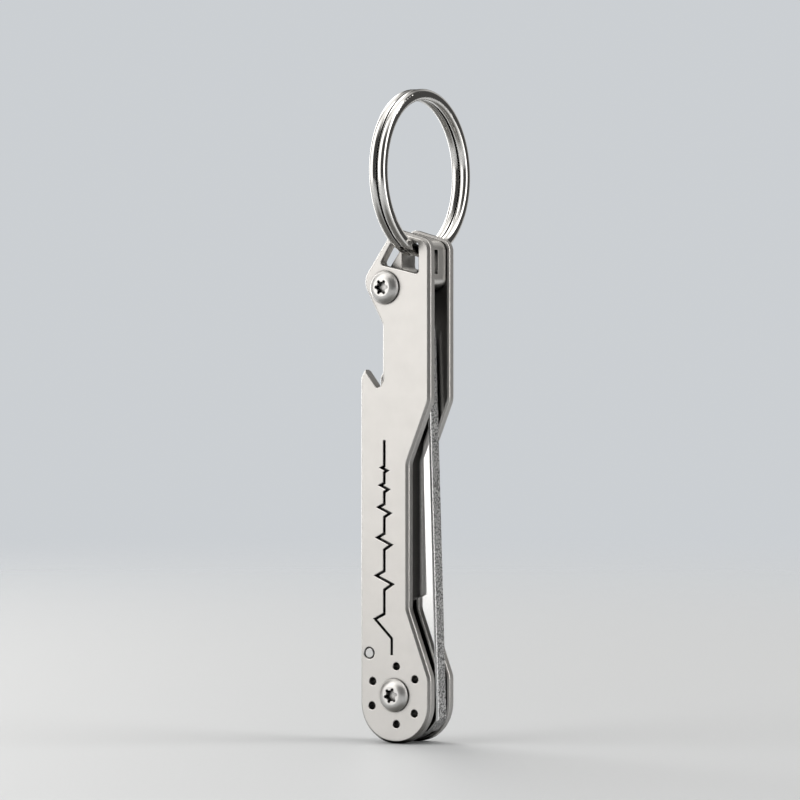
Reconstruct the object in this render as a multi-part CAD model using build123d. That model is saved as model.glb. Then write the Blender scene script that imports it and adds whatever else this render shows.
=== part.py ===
from build123d import *
import math
import os

# Folding key-ring knife with a cap lifter cut into its handle. Millimetres.
# Every shape is drawn from the pivot axis: X across the handle towards the open side, Y through its
# thickness, Z along the handle towards the ring. export() lifts it so that the origin is the butt end.

# ---- driving dimensions ----
PIVOT_HEIGHT = 7.2            # pivot axis above the butt end
HALF_WIDTH = 6.08             # half of the handle's width
SCALE_T = 1.7                 # thickness of each scale
GAP = 3.8                     # space between the scales
BLADE_T = 2.6                 # blade stock
INNER_Y = GAP / 2
OUTER_Y = INNER_Y + SCALE_T
OUTER_CHAMFER = 0.4
INNER_CHAMFER = 0.28
RUNNING = 0.03                # radial clearance of everything that turns
SEAT = 0.01                   # clearance of parts that are fixed together

SLEEVE_R = 2.0                # pivot sleeve
SCREW_R = 1.25                # M2.5 shank
HEAD_R = 2.45
HEAD_H = 1.15
SPACER_SCREW = (-1.65, 60.5)
SPACER_SLEEVE_R = 1.7
SLEEVE_SHORT = 0.5            # sleeves end this far under the scales' outer faces

PIN = (-4.45, 6.12)           # stop pin
PIN_R = 0.75

BEARING_R = 3.45              # bearing recess in each scale
RECESS_DEPTH = 0.4
RACE_T = 0.2
BALL_D = 0.76
BALL_COUNT = 9
BALL_CIRCLE_R = 2.72
BALL_PHASE = 10               # degrees
CAGE_T = 0.4

HOLE_CIRCLE_R = 4.3           # six small holes round the pivot
SMALL_HOLE_R = 0.61
SMALL_HOLE_ANGLES = (86, 35, -37, -86, 203, 153)

PULSE_WIDTH = 0.4
PULSE_X = -1.8
PULSE_TOP_Z = 37.8

SLIT = 0.5                    # slit that frees the lock bar
LOCK_SLIT_X = -1.8
LOCK_HINGE_Z = 36.1
LOCK_WEB = 0.8                # metal left under the relief groove
LOCK_TIP_Z = 6.9
LOCK_KNEE_X = 1.0             # the tip slopes up at 45 degrees from here
DETENT = (0.6, 9.2)
DETENT_R = 0.6

RING_OD = 25.1
RING_RADIAL = 1.7
RING_AXIAL = 1.28
RING_PITCH = 1.36
RING_ROUND = 0.58             # corner radius of the wire
RING_STEP = (-10, 16)         # degrees from the ring's lowest point between which it changes turn
RING_BOTTOM = (2.3, 65.75)    # centre of the ring's wire where it passes through the handle

SPINE_X = 6.05                # blade spine at the pivot's height
SPINE_LEAN = 0.0315           # the spine leans in by this much per millimetre
SPINE_CHAMFER = 0.25
SHOULDER_Z = -3.55            # the spine ends here
TANG_CENTRE = (0, -0.85)
TANG_R = 5.9
RICASSO_Z = 17.5              # full-thickness blank reaches this high before grinding
HEEL_Z = 11.7                 # start of the edge
CHOIL = (-4.75, 11.9)
CHOIL_R = 0.95
EDGE_X = -4.3
EDGE_BEVEL = 0.3
BEHIND_EDGE = 0.15            # half thickness behind the edge bevel
BELLY_Z = 33.0                # the edge starts to curve here
TIP_Z = 56.2
FLAT_WIDTH = 1.33             # strip of full thickness along the spine
FLAT_BELLY_Z = 47.0
FLAT_TIP_Z = 53.5
PLUNGE = (3.6, 16.4)          # a point on the grinding wheel's axis
PLUNGE_R = 1.6
PLUNGE_LEAN = 20              # degrees
CORE = 0.1                    # half thickness the wheel leaves


# ---- helpers ----
def plate(sketch, y_low, y_high):
    """The X-Z sketch as a plate from y_low to y_high."""
    return extrude(Plane.XZ.offset(-y_high) * sketch, y_high - y_low)


def outline(corners):
    """Closed face from (x, z, corner radius) triples."""
    points = [(x, z) for x, z, _ in corners]
    radii = [r for _, _, r in corners]
    return make_face(FilletPolyline(*points, radius=radii, close=True))


def rod(centre, radius, y_low, y_high):
    """Cylinder along Y."""
    middle = Pos(centre[0], (y_low + y_high) / 2, centre[1])
    return middle * Rot(90, 0, 0) * Cylinder(radius, y_high - y_low)


def box(x, y, z):
    """Box from three (low, high) pairs."""
    size = [high - low for low, high in (x, y, z)]
    middle = [(low + high) / 2 for low, high in (x, y, z)]
    return Pos(*middle) * Box(*size)


def polar(radius, degrees):
    """(x, z) at an angle from +X towards +Z about the pivot."""
    return radius * math.cos(math.radians(degrees)), radius * math.sin(math.radians(degrees))


def perimeter(part, y, sketch):
    """Edges of part that lie in the plane y on the sketch's outer wire."""
    ring = (Plane.XZ.offset(-y) * sketch).face().outer_wire()
    flat = part.edges().filter_by(lambda e: abs(e.center().Y - y) < 1e-4)
    return flat.filter_by(lambda e: ring.distance_to(e.center()) < 1e-3)


# ---- scales ----
def handle_outline():
    """Handle before the cap notch is cut to its full depth."""
    return outline([
        (-HALF_WIDTH, -PIVOT_HEIGHT, 6.0),
        (HALF_WIDTH, -PIVOT_HEIGHT, 6.0),
        (HALF_WIDTH, 2.76, 2.5),
        (2.3, 12.8, 1.6),
        (2.3, 34.5, 1.6),
        (HALF_WIDTH, 43.7, 2.5),
        (HALF_WIDTH, 67.4, 2.0),
        (-0.34, 69.26, 1.0),
        (-5.83, 61.53, 2.6),
        (-2.25, 55.0, 0.8),
        (-2.25, 46.6, 0.3),
        (-2.7, 46.5, 0.3),
        (-4.7, 49.37, 0.45),
        (-HALF_WIDTH, 47.2, 1.0),
    ])


def cap_notch():
    """Lower side of the cap notch; it leaves a sharp hook without chamfers."""
    return outline([
        (-2.25, 45.9, 0.35),
        (-3.2, 45.5, 0.35),
        (-6.6, 49.87, 0.2),
        (-4.5, 51.0, 0.2),
        (-2.25, 47.2, 0.2),
    ])


def ring_hole():
    return outline([
        (-2.75, 63.87, 0.55),
        (4.19, 62.32, 0.5),
        (4.19, 67.0, 0.6),
        (0.0, 68.3, 0.5),
    ])


def scale(side):
    """One scale with chamfered outline. side is -1 for the front and 1 for the back."""
    inner, outer = side * INNER_Y, side * OUTER_Y
    shape = handle_outline()
    body = plate(shape, min(inner, outer), max(inner, outer))
    body = chamfer(perimeter(body, outer, shape), OUTER_CHAMFER)
    body = chamfer(perimeter(body, inner, shape), INNER_CHAMFER)
    reach = OUTER_Y + 1
    body -= plate(ring_hole(), -reach, reach)
    body -= plate(cap_notch(), -reach, reach)
    body -= rod((0, 0), SLEEVE_R + SEAT, -reach, reach)
    body -= rod(SPACER_SCREW, SPACER_SLEEVE_R + SEAT, -reach, reach)
    body -= rod(PIN, PIN_R + SEAT, -reach, reach)
    for angle in SMALL_HOLE_ANGLES:
        body -= rod(polar(HOLE_CIRCLE_R, angle), SMALL_HOLE_R, -reach, reach)
    body -= countersink(PIN, PIN_R + SEAT, side)
    recess = sorted((0, side * (INNER_Y + RECESS_DEPTH)))
    body -= rod((0, 0), BEARING_R, *recess)
    return body


def countersink(centre, radius, side):
    """Small cone that widens a hole at the outer face."""
    depth = 0.2
    cone = Cone(radius, radius + 2 * depth, 2 * depth)
    turn = Rot(90, 0, 0) if side < 0 else Rot(-90, 0, 0)
    return Pos(centre[0], side * OUTER_Y, centre[1]) * turn * cone


def pulse_points():
    """Centre line of the pulse slot, top to bottom: five beats that grow, then one last step."""
    beats = [(33.5, 0.55), (30.8, 0.8), (27.4, 1.15), (22.8, 1.4), (17.05, 1.65)]
    points = [(PULSE_X, PULSE_TOP_Z)]
    for z, size in beats:
        points += [
            (PULSE_X, z + 0.8 * size),
            (PULSE_X - 0.85 * size, z + 0.37 * size),
            (PULSE_X + 0.85 * size, z - 0.37 * size),
            (PULSE_X, z - 0.9 * size),
        ]
    return points + [(PULSE_X, 12.0), (PULSE_X - 1.6, 11.2), (-0.5, 8.4), (-0.5, 5.9)]


def front_scale():
    slot = trace(Polyline(*pulse_points()), PULSE_WIDTH)
    return scale(-1) - plate(slot, -OUTER_Y - 1, 0)


# ---- frame lock ----
def back_scale_whole():
    """Back scale before the lock bar is cut free, with its relief groove."""
    radius = 1.5
    depth = SCALE_T - LOCK_WEB
    axis_y = OUTER_Y + radius - depth
    groove = Pos(3, axis_y, LOCK_HINGE_Z) * Rot(0, 90, 0) * Cylinder(radius, 6 - 2 * LOCK_SLIT_X)
    keep_right = box((LOCK_SLIT_X, 20), (0, 10), (0, 60))
    return scale(1) - (groove & keep_right)


def lock_area(clear, top):
    """X-Z area of the lock bar below its hinge, widened by clear where the slit runs."""
    left = LOCK_SLIT_X + SLIT / 2 - clear
    low = LOCK_TIP_Z - clear
    knee = LOCK_KNEE_X + clear * math.tan(math.radians(22.5))
    corners = [(left, top), (left, low), (knee, low), (knee + 10, low + 10), (knee + 10, top)]
    return make_face(Polyline(*corners, close=True))


def lock_bar():
    bar = back_scale_whole() & plate(lock_area(0, LOCK_HINGE_Z - RUNNING), 0, 10)
    return bar - rod(DETENT, DETENT_R + SEAT, 0, INNER_Y + DETENT_R + 0.05)


def back_scale():
    slit_top = LOCK_HINGE_Z + 2.2
    freed = plate(lock_area(SLIT, LOCK_HINGE_Z + RUNNING), 0, 10)
    left, right = LOCK_SLIT_X - SLIT / 2, LOCK_SLIT_X + SLIT / 2
    freed += box((left, right), (0, 10), (LOCK_HINGE_Z, slit_top))
    freed += rod((LOCK_SLIT_X, slit_top), SLIT, 0, 10)
    return back_scale_whole() - freed


def detent_ball():
    return Pos(DETENT[0], BLADE_T / 2 + 0.02 + DETENT_R, DETENT[1]) * Sphere(DETENT_R)


# ---- blade ----
def spine_x(z):
    return SPINE_X - SPINE_LEAN * z


def on_circle(centre, radius, degrees):
    x, z = polar(radius, degrees)
    return centre[0] + x, centre[1] + z


def arc(centre, radius, start, end):
    """Arc between two angles about a centre in X-Z."""
    points = [on_circle(centre, radius, a) for a in (start, (start + end) / 2, end)]
    return ThreePointArc(*points)


def tang_outline():
    """Tang and ricasso, with a seat for the stop pin at each end of the blade's travel."""
    seat_r = PIN_R + RUNNING
    open_pin = (-PIN[0], -PIN[1])
    open_seat = arc(open_pin, seat_r, 88, 126)
    round_end = arc(TANG_CENTRE, TANG_R, -49, -232)
    closed_seat = arc(PIN, seat_r, -42, 75)
    top = (spine_x(RICASSO_Z), RICASSO_Z)
    shoulder = (spine_x(SHOULDER_Z), SHOULDER_Z)
    left = on_circle(PIN, seat_r, 75)[0]
    return make_face([
        Line(top, shoulder),
        Line(shoulder, open_seat @ 0),
        open_seat,
        Line(open_seat @ 1, round_end @ 0),
        round_end,
        Line(round_end @ 1, closed_seat @ 0),
        closed_seat,
        Line(closed_seat @ 1, (left, RICASSO_Z)),
        Line((left, RICASSO_Z), top),
    ])


def plunge_cutter(side):
    """Space swept by the grinding wheel that ends the bevel; it leans down towards the edge."""
    wheel = Pos(0, side * (CORE + PLUNGE_R), 0) * Rot(0, 90, 0) * Cylinder(PLUNGE_R, 40)
    beyond = box((-20, 20), sorted((side * CORE, side * 10)), (0, 20))
    return Pos(PLUNGE[0], 0, PLUNGE[1]) * Rot(0, -PLUNGE_LEAN, 0) * (wheel + beyond)


def belly(start, tip):
    """Curve of the edge from the end of its straight part up to the tip."""
    width, length = tip[0] - start[0], tip[1] - start[1]
    low = (start[0], start[1] + 0.32 * length)
    high = (tip[0] - 0.62 * width, tip[1] - 0.25 * length)
    return Bezier(start, low, high, tip)


def ground_section(y, left, tip_z):
    """Ground blade at height y; left is its edge side as two points, heel and start of the belly."""
    heel, tip = (spine_x(HEEL_Z), HEEL_Z), (spine_x(tip_z), tip_z)
    edges = [Line(heel, tip), belly(left[1], tip), Line(*left), Line(left[0], heel)]
    return Plane.XZ.offset(-y) * make_face(edges)


def ground_half(side):
    """One side of the ground blade, from the mid-plane to the flat strip along the spine."""
    keen_x = EDGE_X - EDGE_BEVEL
    grind = [(spine_x(z) - FLAT_WIDTH, z) for z in (HEEL_Z, FLAT_BELLY_Z)]
    keen = ground_section(0, [(keen_x, HEEL_Z), (keen_x, BELLY_Z)], TIP_Z + 0.2)
    behind = ground_section(side * BEHIND_EDGE, [(EDGE_X, HEEL_Z), (EDGE_X, BELLY_Z)], TIP_Z)
    flat = ground_section(side * BLADE_T / 2, grind, FLAT_TIP_Z)
    return loft([keen, behind], ruled=True) + loft([behind, flat], ruled=True)


def spine_bevel(side):
    """Long prism that takes the corner off the spine."""
    s = SPINE_CHAMFER
    low = SHOULDER_Z - 1
    start = Vector(spine_x(low), side * BLADE_T / 2, low)
    plane = Plane(origin=start, x_dir=Vector(0, 1, 0), z_dir=Vector(-SPINE_LEAN, 0, 1))
    diamond = make_face(Polyline((-s, 0), (0, s), (s, 0), (0, -s), close=True))
    return extrude(plane * diamond, 80)


def blade():
    body = plate(tang_outline(), -BLADE_T / 2, BLADE_T / 2)
    body -= plunge_cutter(-1) + plunge_cutter(1)
    body += ground_half(-1)
    body += ground_half(1)
    body -= spine_bevel(-1) + spine_bevel(1)
    body -= rod(CHOIL, CHOIL_R, -5, 5)
    body -= rod((0, 0), SLEEVE_R + RUNNING, -5, 5)
    dimple = Pos(DETENT[0], BLADE_T / 2 + 0.25, DETENT[1]) * Sphere(0.55)
    return body - dimple


# ---- pivot and fasteners ----
def six_lobe():
    """Six-lobe socket outline."""
    shape = Circle(0.82)
    for k in range(6):
        shape += Rot(0, 0, 60 * k) * Pos(0.9, 0) * Circle(0.25)
    return shape


def screw(reach):
    """Domed screw along +Z with its head seat at z = 0 and its shank going down by reach."""
    rim = 0.28
    profile = make_face([
        Line((0, -reach), (SCREW_R - 0.15, -reach)),
        Line((SCREW_R - 0.15, -reach), (SCREW_R, -reach + 0.15)),
        Line((SCREW_R, -reach + 0.15), (SCREW_R, 0)),
        Line((SCREW_R, 0), (HEAD_R, 0)),
        Line((HEAD_R, 0), (HEAD_R, rim)),
        ThreePointArc((HEAD_R, rim), (HEAD_R - 0.42, 0.82), (1.35, HEAD_H)),
        Line((1.35, HEAD_H), (0, HEAD_H)),
        Line((0, HEAD_H), (0, -reach)),
    ])
    body = revolve(Plane.XZ * profile, Axis.Z)
    socket = extrude(Plane.XY.offset(HEAD_H + 0.1) * six_lobe(), -0.95)
    return body - socket


def placed_screw(centre, side, turn):
    """Screw in the outer face of one side of the handle."""
    reach = OUTER_Y - 0.3
    facing = Rot(90, 0, 0) if side < 0 else Rot(-90, 0, 0)
    return Pos(centre[0], side * OUTER_Y, centre[1]) * facing * Rot(0, 0, turn) * screw(reach)


def sleeve(centre, radius):
    half = OUTER_Y - SLEEVE_SHORT
    return rod(centre, radius, -half, half) - rod(centre, SCREW_R + SEAT, -half - 1, half + 1)


def ring_disc(inner_r, outer_r, y_low, y_high):
    return rod((0, 0), outer_r, y_low, y_high) - rod((0, 0), inner_r, y_low - 1, y_high + 1)


def ball_centres():
    angles = [BALL_PHASE + 360 * k / BALL_COUNT for k in range(BALL_COUNT)]
    return [polar(BALL_CIRCLE_R, angle) for angle in angles]


def ball_y(side):
    """Middle of the space between the race and the blade."""
    race_face = INNER_Y + RECESS_DEPTH - RACE_T
    return side * (race_face + BLADE_T / 2) / 2


def bearing_race(side):
    floor = side * (INNER_Y + RECESS_DEPTH)
    return ring_disc(SLEEVE_R + 0.05, BEARING_R - 0.05, *sorted((floor, floor - side * RACE_T)))


def bearing_cage(side):
    y = ball_y(side)
    cage = ring_disc(SLEEVE_R + 0.1, BEARING_R - 0.1, y - CAGE_T / 2, y + CAGE_T / 2)
    for centre in ball_centres():
        cage -= rod(centre, BALL_D / 2 + RUNNING, -5, 5)
    return cage


def bearing_balls(side):
    y = ball_y(side)
    return Part() + [Pos(x, y, z) * Sphere(BALL_D / 2) for x, z in ball_centres()]


def stop_pin():
    half = OUTER_Y - 0.02
    pin = rod(PIN, PIN_R, -half, half)
    return chamfer(pin.edges(), 0.1)


# ---- spacer and ring ----
def spacer():
    shape = outline([
        (5.6, 60.8, 1.4),
        (5.6, 67.18, 1.7),
        (0.1, 68.77, 0.5),
        (-0.3, 65.65, 0.3),
        (-4.3, 60.13, 1.6),
        (-2.6, 58.0, 1.2),
    ])
    opening = outline([
        (0.17, 62.95, 1.2),
        (4.35, 62.1, 0.6),
        (4.35, 66.95, 0.6),
        (0.7, 68.08, 0.7),
        (0.17, 66.2, 0.8),
    ])
    body = plate(shape - opening, -INNER_Y, INNER_Y)
    body -= rod(SPACER_SCREW, SPACER_SLEEVE_R + SEAT, -5, 5)
    return body - box((4, 8), (-INNER_Y - 1, -0.41), (62.45, 66.06))


def ring_section(x):
    """Wire section at offset x from the ring's mid-plane, drawn at the ring's own axis Z."""
    mean_r = (RING_OD - RING_RADIAL) / 2
    return Plane.XZ * Pos(mean_r, x) * RectangleRounded(RING_RADIAL, RING_AXIAL, RING_ROUND)


def ring_turn(x, start, end):
    return Rot(0, 0, start) * revolve(ring_section(x), Axis.Z, end - start)


def split_ring():
    """Two turns of wire side by side, joined where one steps over to the other."""
    low, high = RING_PITCH / 2, -RING_PITCH / 2
    start, end = RING_STEP
    steps = 8
    sections = []
    for k in range(steps + 1):
        t = k / steps
        rise = low + (high - low) * t * t * (3 - 2 * t)
        sections.append(Rot(0, 0, start + (end - start) * t) * ring_section(rise))
    step = loft(sections)
    body = ring_turn(low, end - 360 + 2, start) + step + ring_turn(high, end, start + 358)
    mean_r = (RING_OD - RING_RADIAL) / 2
    place = Pos(RING_BOTTOM[0], 0, RING_BOTTOM[1] + mean_r)
    return place * Rot(0, 90, 0) * body


def export(node, shape):
    placed = Pos(0, 0, PIVOT_HEIGHT) * shape
    export_step(placed, os.path.join("parts", node + ".step"))


def main():
    os.makedirs("parts", exist_ok=True)
    export("front_scale", front_scale())
    export("back_scale", back_scale())
    export("lock_bar", lock_bar())
    export("detent_ball", detent_ball())
    export("blade", blade())
    export("pivot_sleeve", sleeve((0, 0), SLEEVE_R))
    export("pivot_screw_front", placed_screw((0, 0), -1, 12))
    export("pivot_screw_back", placed_screw((0, 0), 1, 25))
    export("front_bearing_race", bearing_race(-1))
    export("front_bearing_cage", bearing_cage(-1))
    export("front_bearing_balls", bearing_balls(-1))
    export("back_bearing_race", bearing_race(1))
    export("back_bearing_cage", bearing_cage(1))
    export("back_bearing_balls", bearing_balls(1))
    export("stop_pin", stop_pin())
    export("spacer", spacer())
    export("spacer_sleeve", sleeve(SPACER_SCREW, SPACER_SLEEVE_R))
    export("spacer_screw_front", placed_screw(SPACER_SCREW, -1, 0))
    export("spacer_screw_back", placed_screw(SPACER_SCREW, 1, 40))
    export("split_ring", split_ring())


main()
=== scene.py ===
import math

import bmesh
import bpy
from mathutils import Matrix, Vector

# Looks of a folding key-ring knife with a cap lifter in its handle, built around its CAD frame.
# Metres. +Z runs along the handle to the ring, -Y is the front, the blade opens towards +X.

MM = 0.001
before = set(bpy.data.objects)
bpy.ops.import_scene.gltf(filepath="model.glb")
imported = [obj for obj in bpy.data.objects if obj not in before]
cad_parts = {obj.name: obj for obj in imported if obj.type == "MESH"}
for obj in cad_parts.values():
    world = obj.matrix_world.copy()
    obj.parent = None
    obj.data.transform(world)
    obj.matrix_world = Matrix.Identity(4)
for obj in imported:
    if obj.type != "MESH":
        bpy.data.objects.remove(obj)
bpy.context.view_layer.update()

MASK_SAMPLES = 6
CONTACT_REACH = 0.28 * MM     # how far the painted contact shadow spreads
INNER_FACE = 1.94 * MM        # a scale's inner side, from the handle's mid-plane
INNER_BLUR = 0.02 * MM


# ---- shader node helpers ----
def node(tree, kind, inputs=None, **settings):
    """New shader node; inputs are constants or sockets to link."""
    made = tree.nodes.new(kind)
    for name, value in settings.items():
        setattr(made, name, value)
    for name, value in (inputs or {}).items():
        if isinstance(value, bpy.types.NodeSocket):
            tree.links.new(value, made.inputs[name])
        else:
            made.inputs[name].default_value = value
    return made


def calc(tree, operation, *values, clamp=False):
    """Output of a math node."""
    inputs = dict(enumerate(values))
    return node(tree, "ShaderNodeMath", inputs, operation=operation, use_clamp=clamp).outputs[0]


def ramp(tree, value, low, high, to_low=0.0, to_high=1.0):
    """Smooth step of value from low..high to to_low..to_high."""
    inputs = {"Value": value, "From Min": low, "From Max": high}
    inputs.update({"To Min": to_low, "To Max": to_high})
    made = node(tree, "ShaderNodeMapRange", inputs, interpolation_type="SMOOTHSTEP")
    return made.outputs["Result"]


def blend_colour(tree, factor, a, b):
    made = node(tree, "ShaderNodeMix", data_type="RGBA")
    for socket, value in ((made.inputs[0], factor), (made.inputs[6], a), (made.inputs[7], b)):
        if isinstance(value, bpy.types.NodeSocket):
            tree.links.new(value, socket)
        else:
            socket.default_value = value
    return made.outputs[2]


def noise(tree, size, detail=2.0, stretch=(1, 1, 1)):
    """Noise with features about size metres across, in the object's own coordinates."""
    place = node(tree, "ShaderNodeTexCoord").outputs["Object"]
    scale = node(tree, "ShaderNodeMapping", {"Vector": place, "Scale": [1 / s for s in stretch]})
    inputs = {"Vector": scale.outputs[0], "Scale": 1 / size, "Detail": detail}
    return node(tree, "ShaderNodeTexNoise", inputs).outputs["Fac"]


def edge_mask(tree, rounded):
    """1 near edges, 0 on open faces, from how far the rounded normal turns from the true one."""
    normal = node(tree, "ShaderNodeNewGeometry").outputs["Normal"]
    inputs = {0: rounded, 1: normal}
    dot = node(tree, "ShaderNodeVectorMath", inputs, operation="DOT_PRODUCT").outputs["Value"]
    return ramp(tree, dot, 0.995, 0.93)


def closeness(tree, reach):
    """1 in the open, towards 0 where other surfaces are nearer than reach."""
    inputs = {"Distance": reach}
    return node(tree, "ShaderNodeAmbientOcclusion", inputs, samples=MASK_SAMPLES).outputs["AO"]


def recess_mask(tree, reach):
    """1 deep in holes, slots and narrow gaps, 0 in the open."""
    return ramp(tree, closeness(tree, reach), 0.85, 0.4)


def painted_contact_shadow(tree, base, colour):
    """Darkens a thin line where another part sits on the surface, as a painted contact shadow."""
    line = ramp(tree, closeness(tree, CONTACT_REACH), 0.8, 0.5)
    return blend_colour(tree, line, base, tinted(colour, 0.12))


def tinted(colour, factor):
    return [min(1, c * factor) for c in colour] + [1]


def side_on(tree):
    """How squarely the surface faces front or back: 1 on the flat faces, 0 on the edges."""
    facing = node(tree, "ShaderNodeTexCoord").outputs["Normal"]
    axes = node(tree, "ShaderNodeSeparateXYZ", {0: facing})
    return calc(tree, "ABSOLUTE", axes.outputs["Y"])


def depth_from_middle(tree):
    """Distance from the handle's mid-plane, in metres."""
    place = node(tree, "ShaderNodeTexCoord").outputs["Object"]
    axes = node(tree, "ShaderNodeSeparateXYZ", {0: place})
    return calc(tree, "ABSOLUTE", axes.outputs["Y"])


def metal(name, edge_radius=0.12 * MM):
    """Starts a metal: returns (material, tree, shader, normal rounded at the edges)."""
    material = bpy.data.materials.new(name)
    material.use_nodes = True
    tree = material.node_tree
    shader = tree.nodes["Principled BSDF"]
    shader.inputs["Metallic"].default_value = 1.0
    bevel = node(tree, "ShaderNodeBevel", {"Radius": edge_radius}, samples=MASK_SAMPLES)
    return material, tree, shader, bevel.outputs[0]


def set_bump(tree, shader, height, strength, distance, normal):
    inputs = {"Height": height, "Strength": strength, "Distance": distance, "Normal": normal}
    tree.links.new(node(tree, "ShaderNodeBump", inputs).outputs[0], shader.inputs["Normal"])


def finish_colour(tree, shader, base, colour, reach=1.1 * MM, recess_shade=0.03):
    """Links the base colour, with painted shade darkening it where the part is recessed."""
    # Painted shade: the colour goes dark where other surfaces are near.
    shaded = blend_colour(tree, recess_mask(tree, reach), base, tinted(colour, recess_shade))
    tree.links.new(shaded, shader.inputs["Base Color"])


# ---- materials ----
def blasted_metal(name, colour):
    """Bead-blasted faces; machined sides with a coarser grain and a darker tone of painted shade;
    inner sides in painted shade; painted highlights along the edges.
    """
    material, tree, shader, rounded = metal(name, 0.2 * MM)
    edges = edge_mask(tree, rounded)
    grain = noise(tree, 0.09 * MM, 3.0)
    coarse = noise(tree, 0.25 * MM, 3.0)
    mottle = noise(tree, 2.4 * MM, 2.0)
    machined_and_shaded = ramp(tree, side_on(tree), 0.98, 0.85)
    depth = depth_from_middle(tree)
    # Painted shade on the inner sides that face the blade.
    inner_shade = ramp(tree, depth, INNER_FACE + INNER_BLUR, INNER_FACE - INNER_BLUR)
    face = blend_colour(tree, mottle, tinted(colour, 0.95), tinted(colour, 1.05))
    # The machined sides get a coarser grain, and a darker tone that is painted shade.
    cut_and_shade = blend_colour(tree, coarse, tinted(colour, 0.55), tinted(colour, 0.85))
    base = blend_colour(tree, machined_and_shaded, face, cut_and_shade)
    base = blend_colour(tree, inner_shade, base, tinted(colour, 0.3))
    # Painted highlight along the edges.
    base = blend_colour(tree, calc(tree, "MULTIPLY", edges, 0.7), base, tinted(colour, 1.5))
    # Painted contact shadow where parts sit on it, then painted shade in its recesses.
    base = painted_contact_shadow(tree, base, colour)
    finish_colour(tree, shader, base, colour)
    rough = calc(tree, "MULTIPLY_ADD", grain, 0.12, 0.34)
    rough = calc(tree, "MULTIPLY_ADD", edges, -0.24, rough)
    tree.links.new(rough, shader.inputs["Roughness"])
    height = calc(tree, "MULTIPLY_ADD", calc(tree, "MULTIPLY", coarse, machined_and_shaded), 1.5, grain)
    set_bump(tree, shader, height, 0.4, 0.004 * MM, rounded)
    return material


def blade_steel(name, colour):
    """Polished flats, a finely ground bevel and a coarse spine."""
    material, tree, shader, rounded = metal(name, 0.25 * MM)
    side = side_on(tree)
    ground = ramp(tree, side, 0.9995, 0.994)
    spine = ramp(tree, side, 0.3, 0.1)
    lines = noise(tree, 0.05 * MM, 2.0, (14, 1, 1))
    speckle = noise(tree, 0.26 * MM, 4.0)
    worn = ramp(tree, speckle, 0.38, 0.62)
    rough_spine = blend_colour(tree, worn, tinted(colour, 0.12), tinted(colour, 0.72))
    base = blend_colour(tree, spine, tinted(colour, 1.0), rough_spine)
    # Painted shade in the blade's recesses.
    finish_colour(tree, shader, base, colour, 0.7 * MM, 0.1)
    rough = calc(tree, "MULTIPLY_ADD", ground, 0.12, 0.06)
    rough = calc(tree, "MULTIPLY_ADD", spine, 0.28, rough)
    tree.links.new(rough, shader.inputs["Roughness"])
    height = calc(tree, "MULTIPLY", lines, ground)
    coarse = calc(tree, "MULTIPLY", speckle, calc(tree, "MULTIPLY", spine, 4.5))
    height = calc(tree, "ADD", height, coarse)
    set_bump(tree, shader, height, 0.3, 0.004 * MM, rounded)
    return material


def polished_steel(name, colour, roughness):
    """Turned and polished steel with faint tool marks and soft scratches."""
    material, tree, shader, rounded = metal(name, 0.08 * MM)
    scratch = noise(tree, 0.07 * MM, 3.0, (1, 1, 9))
    cloud = noise(tree, 0.9 * MM, 2.0)
    base = blend_colour(tree, cloud, tinted(colour, 0.92), tinted(colour, 1.06))
    # Painted contact shadow where parts sit on it, then painted shade in its recesses.
    base = painted_contact_shadow(tree, base, colour)
    finish_colour(tree, shader, base, colour, 1.1 * MM)
    rough = calc(tree, "MULTIPLY_ADD", cloud, 0.08, roughness - 0.04)
    tree.links.new(rough, shader.inputs["Roughness"])
    set_bump(tree, shader, scratch, 0.12, 0.002 * MM, rounded)
    return material


def satin_metal(name, colour, roughness, reach=1.1 * MM):
    """Milled part with a fine lengthwise grain and painted highlights along its edges."""
    material, tree, shader, rounded = metal(name)
    edges = edge_mask(tree, rounded)
    grain = noise(tree, 0.06 * MM, 3.0, (1, 1, 12))
    base = blend_colour(tree, grain, tinted(colour, 0.88), tinted(colour, 1.08))
    # Painted highlight along the edges.
    base = blend_colour(tree, edges, base, tinted(colour, 1.2))
    # Painted shade in the part's recesses.
    finish_colour(tree, shader, base, colour, reach)
    rough = calc(tree, "MULTIPLY_ADD", grain, 0.15, roughness - 0.07)
    tree.links.new(rough, shader.inputs["Roughness"])
    set_bump(tree, shader, grain, 0.25, 0.003 * MM, rounded)
    return material


SLOTS = {
    "scale_metal": blasted_metal("blasted_scale", (0.6, 0.585, 0.567)),
    "blade_steel": blade_steel("ground_blade", (0.80, 0.80, 0.80)),
    "screw_steel": polished_steel("polished_screw", (0.72, 0.71, 0.695), 0.37),
    "ring_steel": polished_steel("plated_ring", (0.77, 0.76, 0.74), 0.08),
    # The spacer's wider reach spreads painted shade deep into its opening.
    "spacer_metal": satin_metal("milled_spacer", (0.68, 0.665, 0.64), 0.3, 2.6 * MM),
    "bearing_steel": satin_metal("ground_steel", (0.55, 0.55, 0.55), 0.36),
    "cage_brass": satin_metal("cage_brass", (0.78, 0.58, 0.28), 0.28),
}


def dress_frame():
    """Gives every CAD node its finish."""
    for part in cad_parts.values():
        for place in part.material_slots:
            place.material = SLOTS[place.material.name.split(".")[0]]


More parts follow.
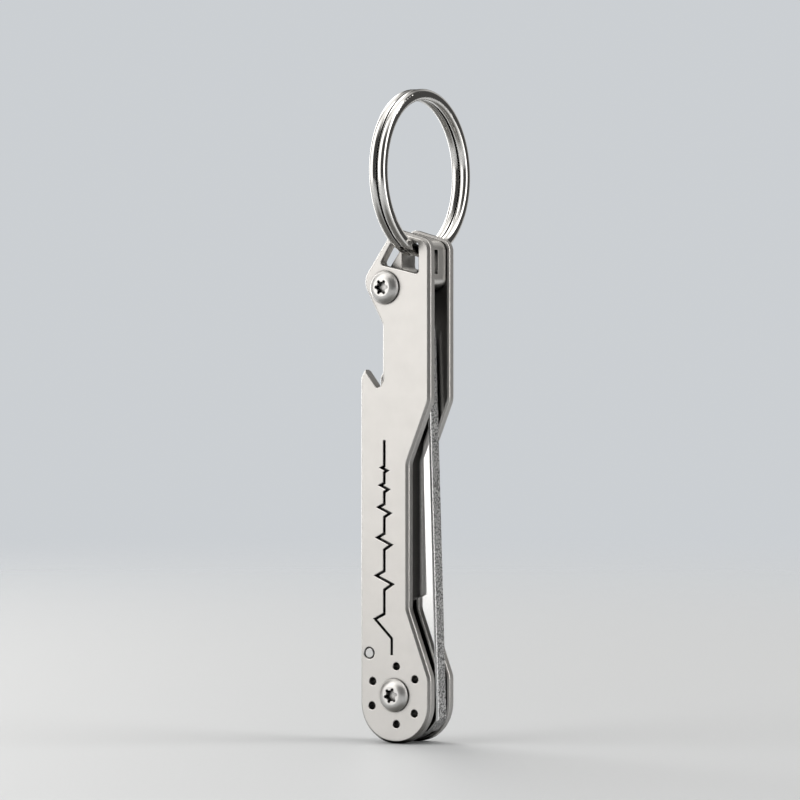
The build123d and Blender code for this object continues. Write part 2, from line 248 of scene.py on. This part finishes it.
# ---- stage ----
def panel(tree, azimuth, elevation, centre, half, soft, strength):
    """Soft rectangular light in the environment, as strength by direction. Angles in degrees."""
    turned = calc(tree, "SUBTRACT", azimuth, math.radians(centre[0]))
    wrapped = calc(tree, "WRAP", turned, math.pi, -math.pi)
    across = calc(tree, "ABSOLUTE", wrapped)
    up = calc(tree, "ABSOLUTE", calc(tree, "SUBTRACT", elevation, math.radians(centre[1])))
    wide = ramp(tree, across, math.radians(half[0] + soft), math.radians(half[0] - soft))
    tall = ramp(tree, up, math.radians(half[1] + soft), math.radians(half[1] - soft))
    return calc(tree, "MULTIPLY", calc(tree, "MULTIPLY", wide, tall), strength)


BACKGROUND = (0.60, 0.625, 0.65)
LIGHT_COLOUR = (1, 0.985, 0.96, 1)
STUDIO = [  # (azimuth, elevation), half size, softness, strength
    ((-38, 5), (28, 55), 10, 1.75),
    ((107, 5), (21, 60), 6, 2.6),
    ((-122, 5), (18, 50), 8, 3.2),
    ((180, 10), (18, 30), 10, 0.5),
    ((0, 90), (180, 34), 20, 1.2),
]
AMBIENT = 0.07


def studio_light():
    """Environment of soft panels for lighting, and a plain pale backdrop for the camera."""
    world = bpy.data.worlds.new("studio")
    bpy.context.scene.world = world
    world.use_nodes = True
    tree = world.node_tree
    tree.nodes.clear()
    direction = node(tree, "ShaderNodeTexCoord").outputs["Generated"]
    axes = node(tree, "ShaderNodeSeparateXYZ", {0: direction})
    toward_camera = calc(tree, "MULTIPLY", axes.outputs["Y"], -1.0)
    azimuth = calc(tree, "ARCTAN2", axes.outputs["X"], toward_camera)
    elevation = calc(tree, "ARCSINE", axes.outputs["Z"])
    total = AMBIENT
    for centre, half, soft, strength in STUDIO:
        lit = panel(tree, azimuth, elevation, centre, half, soft, strength)
        total = calc(tree, "ADD", lit, total)
    light = node(tree, "ShaderNodeBackground", {"Color": LIGHT_COLOUR, "Strength": total})
    backdrop = node(tree, "ShaderNodeBackground", {"Color": (*BACKGROUND, 1), "Strength": 1.0})
    camera_ray = node(tree, "ShaderNodeLightPath").outputs["Is Camera Ray"]
    inputs = {0: camera_ray, 1: light.outputs[0], 2: backdrop.outputs[0]}
    mixed = node(tree, "ShaderNodeMixShader", inputs)
    output = node(tree, "ShaderNodeOutputWorld")
    tree.links.new(mixed.outputs[0], output.inputs[0])


def keep_below_blade(floor):
    """Lowers the floor to the blade's lowest point where the blade swings below the handle."""
    group = bpy.data.node_groups.new("keep_below_blade", "GeometryNodeTree")
    for way in ("INPUT", "OUTPUT"):
        group.interface.new_socket("Geometry", in_out=way, socket_type="NodeSocketGeometry")
    start = group.nodes.new("NodeGroupInput")
    end = group.nodes.new("NodeGroupOutput")
    watched = {"Object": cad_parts["blade"]}
    blade = node(group, "GeometryNodeObjectInfo", watched, transform_space="RELATIVE")
    around = node(group, "GeometryNodeBoundBox", {"Geometry": blade.outputs["Geometry"]})
    lowest = node(group, "ShaderNodeSeparateXYZ", {0: around.outputs["Min"]}).outputs["Z"]
    drop = calc(group, "MINIMUM", lowest, 0.0)
    shift = node(group, "ShaderNodeCombineXYZ", {"Z": drop})
    inputs = {"Geometry": start.outputs[0], "Translation": shift.outputs[0]}
    lowered = node(group, "GeometryNodeTransform", inputs)
    group.links.new(lowered.outputs[0], end.inputs[0])
    floor.modifiers.new("keep_below_blade", "NODES").node_group = group


FLOOR_RINGS = (0.05, 0.1, 0.2, 0.4, 0.8, 1.2)     # radii
FLOOR_STEPS = 96                                  # vertices round each ring
FLOOR_FADE = (0.12, 0.9)                          # turns clear between these distances
FLOOR_TONES = ((0.57, 0.585, 0.60, 1), (0.61, 0.625, 0.64, 1))
FLOOR_MIRRORED = (0.12, 0.12, 0.115, 1)           # painted dark reflection: the floor's colour in steep reflections
STEEP = (0.45, 0.85)                              # sine of a reflected ray's slope


def floor_mesh():
    """Flat disc of concentric rings."""
    grid = bmesh.new()
    centre = grid.verts.new((0, 0, 0))
    angles = [2 * math.pi * k / FLOOR_STEPS for k in range(FLOOR_STEPS)]
    unit = [(math.cos(angle), math.sin(angle)) for angle in angles]
    loops = [[grid.verts.new((r * x, r * y, 0)) for x, y in unit] for r in FLOOR_RINGS]
    for k in range(FLOOR_STEPS):
        following = (k + 1) % FLOOR_STEPS
        grid.faces.new((centre, loops[0][k], loops[0][following]))
        for inner, outer in zip(loops, loops[1:]):
            grid.faces.new((inner[k], outer[k], outer[following], inner[following]))
    mesh = bpy.data.meshes.new("floor")
    grid.to_mesh(mesh)
    grid.free()
    return mesh


def floor_material():
    """Pale speckled floor that fades out with distance and is painted dark in steep reflections.
    """
    material = bpy.data.materials.new("pale_floor")
    material.use_nodes = True
    tree = material.node_tree
    shader = tree.nodes["Principled BSDF"]
    shader.inputs["Roughness"].default_value = 0.55
    colour = blend_colour(tree, noise(tree, 0.6 * MM, 3.0), *FLOOR_TONES)
    incoming = node(tree, "ShaderNodeNewGeometry").outputs["Incoming"]
    slope = node(tree, "ShaderNodeSeparateXYZ", {0: incoming}).outputs["Z"]
    glossy = node(tree, "ShaderNodeLightPath").outputs["Is Glossy Ray"]
    # Painted reflection: glossy rays at steep slopes see the floor dark.
    mirrored = calc(tree, "MULTIPLY", glossy, ramp(tree, slope, *STEEP))
    colour = blend_colour(tree, mirrored, colour, FLOOR_MIRRORED)
    tree.links.new(colour, shader.inputs["Base Color"])
    place = node(tree, "ShaderNodeTexCoord").outputs["Object"]
    distance = node(tree, "ShaderNodeVectorMath", {0: place}, operation="LENGTH").outputs["Value"]
    clear = node(tree, "ShaderNodeBsdfTransparent")
    inputs = {0: ramp(tree, distance, *FLOOR_FADE), 1: shader.outputs[0], 2: clear.outputs[0]}
    mixed = node(tree, "ShaderNodeMixShader", inputs)
    tree.links.new(mixed.outputs[0], tree.nodes["Material Output"].inputs[0])
    return material


def pale_floor():
    """Round floor under the object that fades into the backdrop."""
    mesh = floor_mesh()
    mesh.materials.append(floor_material())
    floor = bpy.data.objects.new("floor", mesh)
    bpy.context.scene.collection.objects.link(floor)
    keep_below_blade(floor)


AZIMUTH = 32                  # degrees to the right of straight ahead
DISTANCE = 0.585
TARGET = Vector((-0.0013, 0, 0.05098))
LENS = 176.4                  # on a 36 mm sensor


def camera():
    """Level camera on the photo's side of the handle."""
    data = bpy.data.cameras.new("camera")
    data.lens = LENS
    data.sensor_width = 36
    data.clip_start = 0.01
    data.clip_end = 100
    eye = bpy.data.objects.new("camera", data)
    bpy.context.scene.collection.objects.link(eye)
    angle = math.radians(AZIMUTH)
    eye.location = TARGET + DISTANCE * Vector((math.sin(angle), -math.cos(angle), 0))
    eye.rotation_euler = (TARGET - eye.location).to_track_quat("-Z", "Y").to_euler()
    bpy.context.scene.camera = eye


dress_frame()
studio_light()
pale_floor()
camera()
bpy.context.scene.view_settings.view_transform = "Standard"

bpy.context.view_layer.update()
